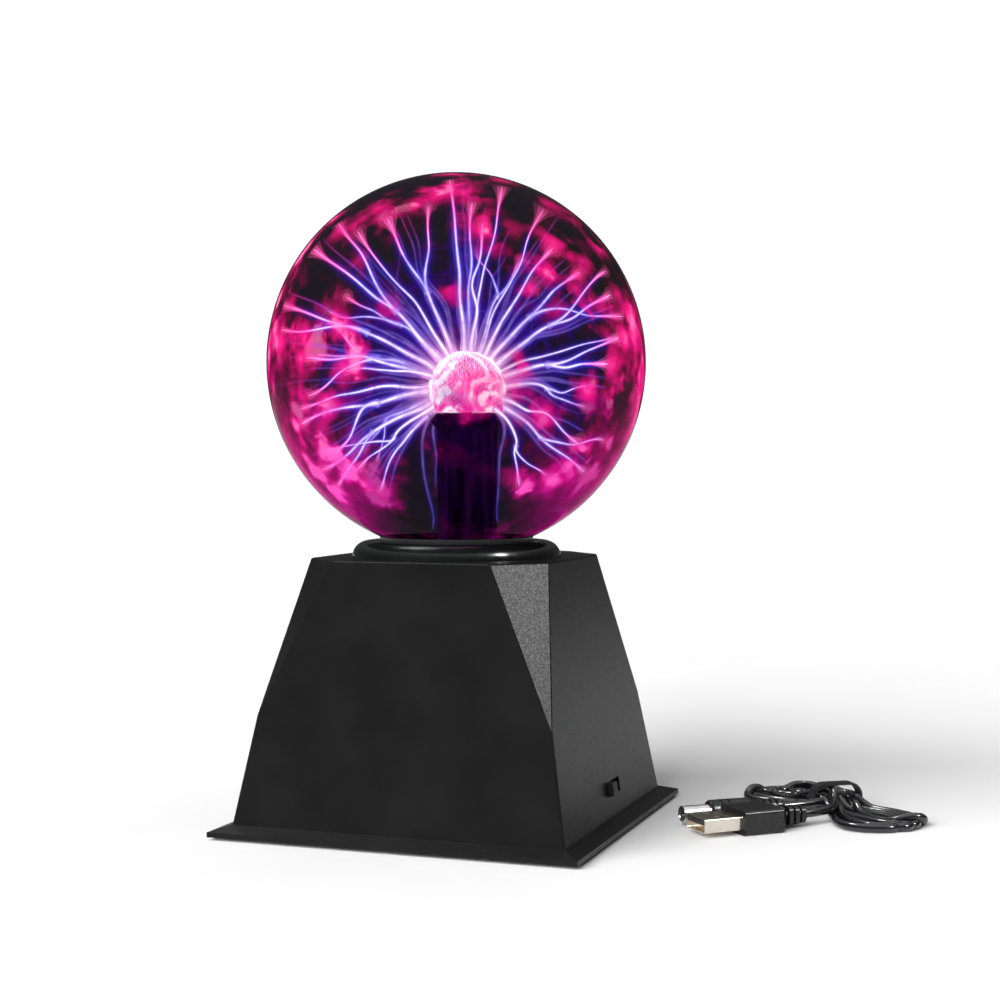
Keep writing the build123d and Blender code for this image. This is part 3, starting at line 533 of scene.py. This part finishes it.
# Soft pink spots on the near glass between the streamers: right, up, width in degrees.
BLOOMS = [(-0.08, 0.82, 5.5), (0.16, 0.64, 4.5), (0.19, 0.50, 3.5), (0.48, 0.58, 4.5), (0.46, 0.40, 4.5),
          (0.38, 0.32, 4.0), (-0.59, 0.62, 5.0), (-0.81, 0.53, 6.0), (-0.32, 0.23, 5.0), (0.00, 0.30, 4.0),
          (-0.19, 0.76, 5.0), (-0.54, 0.16, 5.0), (-0.74, 0.09, 6.0), (-0.52, -0.06, 5.0), (0.75, 0.55, 6.0),
          (0.90, 0.20, 8.0), (0.44, -0.30, 5.0), (0.66, -0.17, 5.0), (-0.61, -0.24, 5.5), (0.53, 0.20, 4.5)]
# Places where the gas stays dark: right, up, width.
HOLLOWS = [(-0.27, 0.50, 0.17), (0.33, 0.80, 0.10), (-0.62, 0.50, 0.09), (0.80, 0.45, 0.09), (-0.45, 0.22, 0.10),
           (0.12, 0.42, 0.12), (0.55, 0.12, 0.10), (0.05, -0.60, 0.18), (-0.30, -0.40, 0.10), (0.62, -0.34, 0.08)]
far_streamers = 8
spark_count = 5000
random.seed(7)


def wall_point(right, up, side):
    """Point on the inner wall of the globe, seen at this place from the front."""
    depth = math.sqrt(max(0.0, 1 - right ** 2 - up ** 2)) * side
    flat = view_right * right + view_back * depth
    return globe_centre + (flat + Vector((0, 0, up))) * gas_radius


def onto_wall(point):
    return globe_centre + (point - globe_centre).normalized() * gas_radius


def sway_at(spot, seed):
    """Slow wander of a streamer: a smooth vector about one unit long."""
    return noise.noise_vector(spot * 55 + Vector((seed * 3.7, seed * 1.3, 0)))


def streamer_line(start, end, heading, seed, sway=3.0 * MM, count=34):
    """Smooth line from the bulb to the wall that leaves along heading and wanders a little."""
    span = (end - start).length
    leave = start + heading * span * 0.36
    arrive = end - (end - globe_centre).normalized() * span * 0.30
    line = []
    for step in range(count):
        t = step / (count - 1)
        s = 1 - t
        point = start * s ** 3 + leave * 3 * s * s * t + arrive * 3 * s * t * t + end * t ** 3
        loose = math.sin(math.pi * t) ** 0.8 * min(1.0, span / (30 * MM))
        line.append(point + sway_at(point, seed) * sway * loose)
    return line


def leaving(end):
    """Way out of the bulb towards a point of the wall: rather to its sides, and never off its flat foot."""
    heading = (end - bulb_centre).normalized() + Vector((0, 0, 0.15))
    towards = heading.dot(view_back)
    heading -= view_back * (towards - 0.35 * towards)
    heading.normalize()
    flat = Vector((heading.x, heading.y, 0)).normalized()
    rise = max(heading.z, -0.5)
    return flat * math.sqrt(1 - rise * rise) + Vector((0, 0, rise))


def streamers():
    """All lines of the discharge as (points, strength, flare)."""
    ends = [(wall_point(r, u, side), strength, fork, flare) for r, u, side, strength, fork, flare in STREAMERS]
    spiral = math.pi * (3 - math.sqrt(5))
    for index in range(far_streamers):
        up = 0.92 - 1.55 * (index + 0.5) / far_streamers
        turn = index * spiral
        ring = math.sqrt(1 - up * up)
        right = ring * math.cos(turn)
        back = -abs(ring * math.sin(turn)) - 0.05
        end = onto_wall(globe_centre + view_right * right + view_back * back + Vector((0, 0, up)))
        ends.append((end, random.uniform(0.15, 0.4), random.choice((0, 12, -14)), random.uniform(2.4, 3.8)))
    lines = []
    for seed, (end, strength, fork, flare) in enumerate(ends):
        heading = leaving(end)
        start = bulb_centre + heading * (bulb_radius - 0.3 * MM)
        line = streamer_line(start, end, heading, seed)
        lines.append((line, strength, flare))
        for turn in random.sample((-10, -6, -4, 4, 6, 10), 2) if strength > 0.6 else ():
            aside = end - bulb_centre
            aside.rotate(Quaternion(view_back, math.radians(turn)))
            beside = leaving(bulb_centre + aside)
            beside_start = bulb_centre + beside * (bulb_radius - 0.3 * MM)
            beside_end = onto_wall(bulb_centre + aside)
            lines.append((streamer_line(beside_start, beside_end, beside, seed + 90), random.uniform(0.12, 0.34), flare * 0.6))
        if fork:
            split = 12 + seed % 5
            turned = line[-1] - bulb_centre
            axis = view_back if seed % 2 else (view_back + Vector((0, 0, 0.8))).normalized()
            turned.rotate(Quaternion(axis, math.radians(fork)))
            branch_heading = (line[split] - line[split - 2]).normalized()
            branch_end = onto_wall(bulb_centre + turned)
            branch = streamer_line(line[split], branch_end, branch_heading, seed + 50, count=24)
            lines.append((branch, strength * 0.7, flare * 0.8))
    return lines


def discharge_finish(name, stops, alpha, gain=1.0, patchy=0.35):
    """Glow whose colour changes with the distance from the bulb and fades with the piece's own power."""
    finish = Finish(name, Roughness=1.0)
    finish.shader.inputs["Specular IOR Level"].default_value = 0.0
    finish.shader.inputs["Base Color"].default_value = (0, 0, 0, 1)
    away = finish.add("VectorMath", {0: finish.place, 1: tuple(bulb_centre)}, operation="DISTANCE").outputs["Value"]
    share = finish.math("DIVIDE", away, globe_radius)
    finish.set("Emission Color", finish.ramp(share, stops))
    finish.shader.inputs["Emission Strength"].default_value = glass_gain * gain
    power = finish.add("Attribute", attribute_name="power").outputs["Fac"]
    flicker = finish.range(finish.noise(5 * MM, detail=2), 0.3, 0.7, 1 - patchy, 1 + patchy)
    level = finish.math("MULTIPLY", finish.math("MULTIPLY", power, flicker), alpha, clamp=True)
    finish.set("Alpha", level)
    finish.material.cycles.emission_sampling = "NONE"
    return finish.material


def make_light_only(piece):
    """The discharge is seen but throws no light on the stage."""
    piece.visible_diffuse = False
    piece.visible_glossy = False
    piece.visible_shadow = False


def streamer_pieces(lines):
    white = [(0.20, (1.0, 0.80, 0.98)), (0.45, (0.92, 0.86, 1.0)), (0.80, (0.55, 0.50, 1.0)), (1.0, (1.0, 0.30, 0.70))]
    violet = [(0.20, (1.0, 0.50, 0.92)), (0.38, (0.55, 0.36, 1.0)), (0.78, (0.16, 0.13, 1.0)), (1.0, (0.75, 0.05, 0.45))]
    blue = [(0.20, (0.90, 0.22, 0.80)), (0.36, (0.20, 0.10, 1.0)), (0.82, (0.05, 0.04, 0.85)), (1.0, (0.30, 0.01, 0.30))]
    haze = [(0.20, (0.60, 0.08, 0.60)), (0.40, (0.05, 0.02, 0.75)), (0.85, (0.02, 0.01, 0.60)), (1.0, (0.10, 0.0, 0.12))]
    layers = [("streamer_cores", 1.0, white, 1.0, 2.8), ("streamer_sheaths", 2.3, violet, 0.45, 1.5),
              ("streamer_halos", 5.0, blue, 0.17, 1.1), ("streamer_haze", 10.0, haze, 0.11, 0.75)]
    for name, swell, stops, alpha, gain in layers:
        vertices, faces, power = [], [], []
        for line, strength, _ in lines:
            if strength < 0.36 and swell < 2:
                continue        # the dim ones have no white thread
            count = len(line)
            radii, strengths = [], []
            for step in range(count):
                t = step / (count - 1)
                root = 0.9 * math.exp(-t / 0.10) if swell < 3 else -0.6 * math.exp(-t / 0.08)
                fade = min(1.0, (1 - t) / 0.06 + 0.15)
                radii.append((0.42 - 0.18 * t) * max(strength, 0.35) ** 0.7 * swell * (1 + root) * MM)
                strengths.append(strength * (0.55 + 0.6 * (1 - t) ** 1.5) * fade)
            add_tube(vertices, faces, power, line, radii, strengths, sides=10 if swell > 3 else 8)
        piece = new_piece(name, vertices, faces, discharge_finish(name, stops, alpha, gain), "base", power)
        make_light_only(piece)


def flare_pieces(lines):
    """Pink trumpets where the streamers spread out on the glass."""
    pink = [(0.6, (1.0, 0.16, 0.55)), (0.9, (1.0, 0.14, 0.42)), (1.1, (1.0, 0.10, 0.36))]
    for name, swell, alpha, gain in (("flare_hearts", 0.45, 0.34, 1.5), ("flare_veils", 0.95, 0.13, 1.1)):
        vertices, faces, power = [], [], []
        for line, strength, flare in lines:
            if strength < 0.36:
                continue
            tail = line[-9:]
            ends = len(tail) - 1
            radii = [(0.30 + flare * swell * (step / ends) ** 3.2) * MM for step in range(len(tail))]
            strengths = [strength * 1.6 * math.sin(math.pi * (0.12 + 0.80 * step / ends)) for step in range(len(tail))]
            add_tube(vertices, faces, power, tail, radii, strengths, sides=16)
        piece = new_piece(name, vertices, faces, discharge_finish(name, pink, alpha, gain), "base", power)
        make_light_only(piece)


def sphere_part(centre, radius, floor_z, divisions):
    """Fine sphere without the faces below floor_z."""
    shape = bmesh.new()
    bmesh.ops.create_icosphere(shape, subdivisions=divisions, radius=radius)
    bmesh.ops.translate(shape, verts=shape.verts, vec=centre)
    low = [vertex for vertex in shape.verts if vertex.co.z < floor_z]
    bmesh.ops.delete(shape, geom=low, context="VERTS")
    vertices = [vertex.co.copy() for vertex in shape.verts]
    shape.verts.index_update()
    faces = [tuple(vertex.index for vertex in face.verts) for face in shape.faces]
    shape.free()
    return vertices, faces


def wall_density(vertices, lines):
    """How strongly the gas glows at each point of the wall: contact spots, clouds and threads, less a painted shadow
    under the stem.
    """
    places = np.array([tuple((vertex - globe_centre).normalized()) for vertex in vertices])
    blooms = [wall_point(right, up, 1) for right, up, _ in BLOOMS]
    contacts = np.array([tuple((end - globe_centre).normalized()) for end in [line[-1] for line, _, _ in lines] + blooms])
    widths = np.radians(np.array([1.6 + 1.25 * flare for _, _, flare in lines] + [width for _, _, width in BLOOMS]))
    levels = np.array([0.55 + 0.45 * strength for _, strength, _ in lines] + [0.95] * len(BLOOMS))
    jagged = np.array([noise.fractal(Vector(place) * 9, 0.8, 2.0, 3) for place in places])
    cloud = np.array([noise.fractal(Vector(place) * 4.0 + Vector((3, 0, 0)), 1.0, 2.0, 3) for place in places])
    ridge = np.array([abs(noise.fractal(Vector(place) * 5.5 + Vector((0, 9, 0)), 0.8, 2.1, 3)) for place in places])
    angle = np.arccos(np.clip(places @ contacts.T, -1, 1))
    reach = widths[None, :] * (1 + 0.9 * jagged[:, None])
    spots = (levels[None, :] * np.exp(-(angle / np.maximum(reach, 0.01)) ** 2)).max(axis=1)
    sideways = np.abs(places @ np.array(tuple(view_right)))
    low = np.clip((-places[:, 2] - 0.15) / 0.45, 0, 1) * np.clip(sideways * 3 - 0.6, 0, 1)
    rim = np.clip(sideways * 5 - 4, 0, 1) * np.clip(1.3 - places[:, 2] * 2, 0, 1)
    thin = np.clip(1.15 - places[:, 2], 0.55, 1)
    density = 0.66 * thin * np.clip(cloud * 1.7 - 0.30, 0, 1)
    density += 0.36 * thin * np.clip(1 - ridge / 0.10, 0, 1) * np.clip(cloud * 2 + 0.30, 0, 1)
    density += 0.46 * low + 0.36 * rim
    density = np.minimum(density, 0.74) + 0.84 * spots
    # Painted shadow of the stem: the glow is cut in a band below the stem, low at the front and back of the globe.
    density *= 1 - 0.75 * np.exp(-(sideways / 0.24) ** 2) * np.clip((-places[:, 2] - 0.45) / 0.2, 0, 1)
    across = places @ np.array(tuple(view_right))
    for right, up, width in HOLLOWS:
        off = ((across - right) ** 2 + (places[:, 2] - up) ** 2) / (width * (1 + 0.5 * jagged)) ** 2
        density *= 1 - 0.85 * np.exp(-off)
    return np.clip(density, 0, 1)


def wall_glow(lines):
    """Magenta clouds and bright spots where the discharge meets the glass."""
    vertices, faces = sphere_part(globe_centre, wall_radius, gas_floor, 7)
    power = wall_density(vertices, lines)
    finish = Finish("wall_glow", Roughness=1.0)
    finish.shader.inputs["Specular IOR Level"].default_value = 0.0
    finish.shader.inputs["Base Color"].default_value = (0.002, 0, 0.004, 1)
    level = finish.add("Attribute", attribute_name="power").outputs["Fac"]
    grain = finish.range(finish.noise(5 * MM, detail=3, warp=0.6), 0.3, 0.7, -0.07, 0.07)
    dense = finish.math("ADD", level, grain, clamp=True)
    rose = [(0.05, (0.0, 0.0, 0.0)), (0.25, (0.07, 0.0, 0.018)), (0.48, (0.46, 0.001, 0.10)),
            (0.76, (0.95, 0.010, 0.24)), (1.0, (1.0, 0.20, 0.50))]
    magenta = [(0.05, (0.0, 0.0, 0.0)), (0.25, (0.07, 0.0, 0.04)), (0.48, (0.24, 0.001, 0.11)),
               (0.76, (0.50, 0.004, 0.23)), (1.0, (1.0, 0.07, 0.55))]
    height = finish.add("SeparateXYZ", {"Vector": finish.place}).outputs["Z"]
    lowness = finish.range(height, globe_centre.z - 0.75 * globe_radius, globe_centre.z, 1.0, 0.0)
    mix = finish.add("Mix", {"Factor": lowness}, data_type="RGBA")
    finish.feed(finish.ramp(dense, rose), mix.inputs["A"])
    finish.feed(finish.ramp(dense, magenta), mix.inputs["B"])
    finish.set("Emission Color", mix.outputs["Result"])
    finish.shader.inputs["Emission Strength"].default_value = glass_gain * 0.75
    finish.set("Alpha", finish.ramp(dense, [(0.05, 0.34), (0.45, 0.52), (0.9, 0.85)]))
    finish.material.cycles.emission_sampling = "NONE"
    piece = new_piece("wall_glow", vertices, faces, finish.material, "base", list(power))
    make_light_only(piece)


def ray_haze():
    """Nested shells with one pattern of directions, which read as dim blue rays."""
    finish = Finish("ray_haze", Roughness=1.0)
    finish.shader.inputs["Specular IOR Level"].default_value = 0.0
    finish.shader.inputs["Base Color"].default_value = (0, 0, 0, 1)
    outward = finish.add("VectorMath", {0: finish.place, 1: tuple(bulb_centre)}, operation="SUBTRACT").outputs["Vector"]
    heading = finish.add("VectorMath", {0: outward}, operation="NORMALIZE").outputs["Vector"]
    away = finish.add("VectorMath", {0: outward}, operation="LENGTH").outputs["Value"]
    rays = finish.noise(0.22, detail=3, place=heading)
    stops = [(0.25, (0.24, 0.03, 0.55)), (0.45, (0.04, 0.01, 0.45)), (0.70, (0.03, 0.0, 0.26)), (0.9, (0.12, 0.0, 0.10))]
    finish.shader.inputs["Emission Strength"].default_value = glass_gain * 1.1
    rise = finish.add("SeparateXYZ", {"Vector": heading}).outputs["Z"]
    beam = finish.math("MULTIPLY", finish.range(rays, 0.46, 0.70), finish.range(rise, -0.6, -0.1, 0.2, 1.0))
    colour = finish.ramp(finish.math("DIVIDE", away, globe_radius), stops)
    finish.set("Emission Color", finish.add("VectorMath", {0: colour, "Scale": beam}, operation="SCALE").outputs["Vector"])
    finish.set("Alpha", finish.range(beam, 0.0, 1.0, 0.08, 0.26))
    finish.material.cycles.emission_sampling = "NONE"
    vertices, faces = [], []
    for share in (0.36, 0.50, 0.64, 0.78):
        ring, panes = sphere_part(bulb_centre, globe_radius * share, gas_floor, 5)
        faces += [tuple(index + len(vertices) for index in pane) for pane in panes]
        vertices += ring
    make_light_only(new_piece("ray_haze", vertices, faces, finish.material, "base"))


def bulb_glow():
    """Faint violet air of light round the bulb."""
    finish = Finish("bulb_glow", Roughness=1.0)
    finish.shader.inputs["Specular IOR Level"].default_value = 0.0
    finish.shader.inputs["Base Color"].default_value = (0, 0, 0, 1)
    patches = finish.noise(5 * MM, detail=3, warp=0.5)
    finish.set("Emission Color", finish.ramp(patches, [(0.35, (0.85, 0.16, 0.80)), (0.6, (1.0, 0.36, 1.0))]))
    finish.shader.inputs["Emission Strength"].default_value = glass_gain
    finish.set("Alpha", finish.range(patches, 0.35, 0.65, 0.03, 0.07))
    finish.material.cycles.emission_sampling = "NONE"
    vertices, faces = [], []
    for lift in (0.2, 0.9, 2.0, 3.6):
        ring, panes = sphere_part(bulb_centre, bulb_radius + lift * MM, bulb_foot - 0.2 * lift * MM, 5)
        faces += [tuple(index + len(vertices) for index in pane) for pane in panes]
        vertices += ring
    make_light_only(new_piece("bulb_glow", vertices, faces, finish.material, "base"))


def bulb_sparks():
    """Short white sparks between the filler and the bulb's glass, which close up into a rim at its edge."""
    white = [(0.15, (1.0, 0.88, 0.98)), (0.25, (1.0, 0.85, 1.0))]
    vertices, faces, power = [], [], []
    for index in range(spark_count):
        rise = 1 - (index + 0.5) / spark_count * 1.54
        turn = index * math.pi * (3 - math.sqrt(5)) + random.uniform(-0.05, 0.05)
        ring = math.sqrt(1 - rise * rise)
        out = Vector((ring * math.cos(turn), ring * math.sin(turn), rise))
        reach = random.uniform(0.9, 1.25) * MM
        spots = [bulb_centre + out * (core_radius + 0.05 * MM + reach * share) for share in (0, 0.5, 1)]
        add_tube(vertices, faces, power, spots, [0.13 * MM, 0.12 * MM, 0.08 * MM], [1.0, 0.9, 0.6], sides=4)
    material = discharge_finish("bulb_sparks", white, 0.15, 3.2)
    make_light_only(new_piece("bulb_sparks", vertices, faces, material, "base", power))


def core_finish():
    """Glowing filler: pink with white curls."""
    finish = Finish("filler_metal", Roughness=0.6)
    finish.shader.inputs["Base Color"].default_value = (0.05, 0.005, 0.02, 1)
    curls = finish.noise(9 * MM, detail=2.5, warp=2.2)
    colours = [(0.36, (0.65, 0.01, 0.20)), (0.44, (0.90, 0.06, 0.36)), (0.52, (1.0, 0.16, 0.52)), (0.60, (1.0, 0.90, 1.0))]
    finish.set("Emission Color", finish.ramp(curls, colours))
    finish.shader.inputs["Emission Strength"].default_value = glass_gain * 1.8
    finish.material.cycles.emission_sampling = "NONE"
    return finish.material


def stem_finish():
    """Clear glass round the glowing bulb, dark and coated down the stem, with a painted glow of the discharge's light
    in faint violet streaks on it.
    """
    finish = Finish("stem_glass", Roughness=0.2, IOR=1.2)
    finish.shader.inputs["Base Color"].default_value = (0.004, 0.0, 0.010, 1)
    height = finish.add("SeparateXYZ", {"Vector": finish.place}).outputs["Z"]
    up = finish.range(height, bulb_foot - 1.5 * MM, bulb_foot)
    streak = finish.noise(2.5 * MM, detail=2, place=finish.add(
        "Mapping", {"Vector": finish.place, "Scale": (1, 1, 0.1)}).outputs["Vector"])
    # Painted light: faint violet streaks of the discharge's glow on the stem glass, which gives no light of its own.
    finish.set("Emission Color", finish.ramp(streak, [(0.4, (0.0, 0.0, 0.004)), (0.7, (0.05, 0.004, 0.08))]))
    finish.shader.inputs["Emission Strength"].default_value = glass_gain * 0.3
    finish.set("Alpha", finish.range(up, 0.0, 1.0, 0.95, 0.03))
    finish.material.cycles.emission_sampling = "NONE"
    return finish.material


cover("electrode_core", core_finish())
cover("electrode_stem", stem_finish())
streamer_lines = streamers()
wall_glow(streamer_lines)
ray_haze()
streamer_pieces(streamer_lines)
flare_pieces(streamer_lines)
bulb_glow()
bulb_sparks()


# ==== Stage and light =============================================================
def stage_floor():
    finish = Finish("stage_paper", Roughness=0.9)
    finish.shader.inputs["Specular IOR Level"].default_value = 0.0
    grey = finish.noise(60 * MM, detail=2)
    finish.set("Base Color", finish.ramp(grey, [(0.3, 0.86), (0.7, 0.88)]))
    reach = 4.0
    corners = [(-reach, -reach, 0), (reach, -reach, 0), (reach, reach, 0), (-reach, reach, 0)]
    mesh = bpy.data.meshes.new("stage_floor")
    mesh.from_pydata(corners, [], [(0, 1, 2, 3)])
    mesh.materials.append(finish.material)
    floor = bpy.data.objects.new("stage_floor", mesh)
    scene.collection.objects.link(floor)


def world_light():
    """Soft room light from overhead, dim near the horizon. The backdrop itself is white."""
    world = bpy.data.worlds.new("studio")
    world.use_nodes = True
    scene.world = world
    tree = world.node_tree

    def node(kind, values, **settings):
        made = tree.nodes.new("ShaderNode" + kind)
        for key, value in settings.items():
            setattr(made, key, value)
        for socket, value in zip(made.inputs, values):
            if isinstance(value, bpy.types.NodeSocket):
                tree.links.new(value, socket)
            else:
                socket.default_value = value
        return made.outputs

    heading = node("TexCoord", ())["Generated"]
    rise = node("VectorMath", (heading, (0, 0, 1)), operation="DOT_PRODUCT")["Value"]
    beyond = node("VectorMath", (heading, -view_back), operation="DOT_PRODUCT")["Value"]
    overhead = node("Math", (node("Math", (rise, 0.0), operation="MAXIMUM")[0], 3.5), operation="POWER")[0]
    walls = node("MapRange", (beyond, -1, 1, 0.03, 0.06))[0]
    level = node("Math", (overhead, 1.4, walls), operation="MULTIPLY_ADD")[0]
    fill = node("MapRange", (node("LightPath", ())["Is Diffuse Ray"], 0, 1, 1.0, 0.65))[0]
    soft = node("Background", ((1, 1, 1, 1), node("Math", (level, fill), operation="MULTIPLY")[0]))[0]
    white = node("Background", ((1, 1, 1, 1), 1.1))[0]
    seen = node("LightPath", ())["Is Camera Ray"]
    blend = node("MixShader", (seen, soft, white))[0]
    tree.links.new(blend, tree.nodes["World Output"].inputs["Surface"])


def sun(name, aim_from, strength, angle, matt=True, gloss=True):
    """Sun light from a direction given right, back towards the viewer, and up; it lights matt or glossy looks or both."""
    right, back, up = aim_from
    direction = (view_right * right + view_back * back + Vector((0, 0, up))).normalized()
    data = bpy.data.lights.new(name, "SUN")
    data.energy = strength
    data.angle = math.radians(angle)
    data.use_shadow = matt
    light = bpy.data.objects.new(name, data)
    light.visible_glossy = gloss
    light.visible_diffuse = matt
    light.rotation_euler = direction.to_track_quat("Z", "Y").to_euler()
    scene.collection.objects.link(light)
    return light


stage_floor()
world_light()
sun("key_light", (-0.69, 0.66, 0.33), 7.6, 64, gloss=False)
sun("edge_light", (0.66, 0.39, 0.636), 2.1, 12, matt=False)
sun("top_light", (-0.30, -0.35, 0.90), 0.9, 9, matt=False)
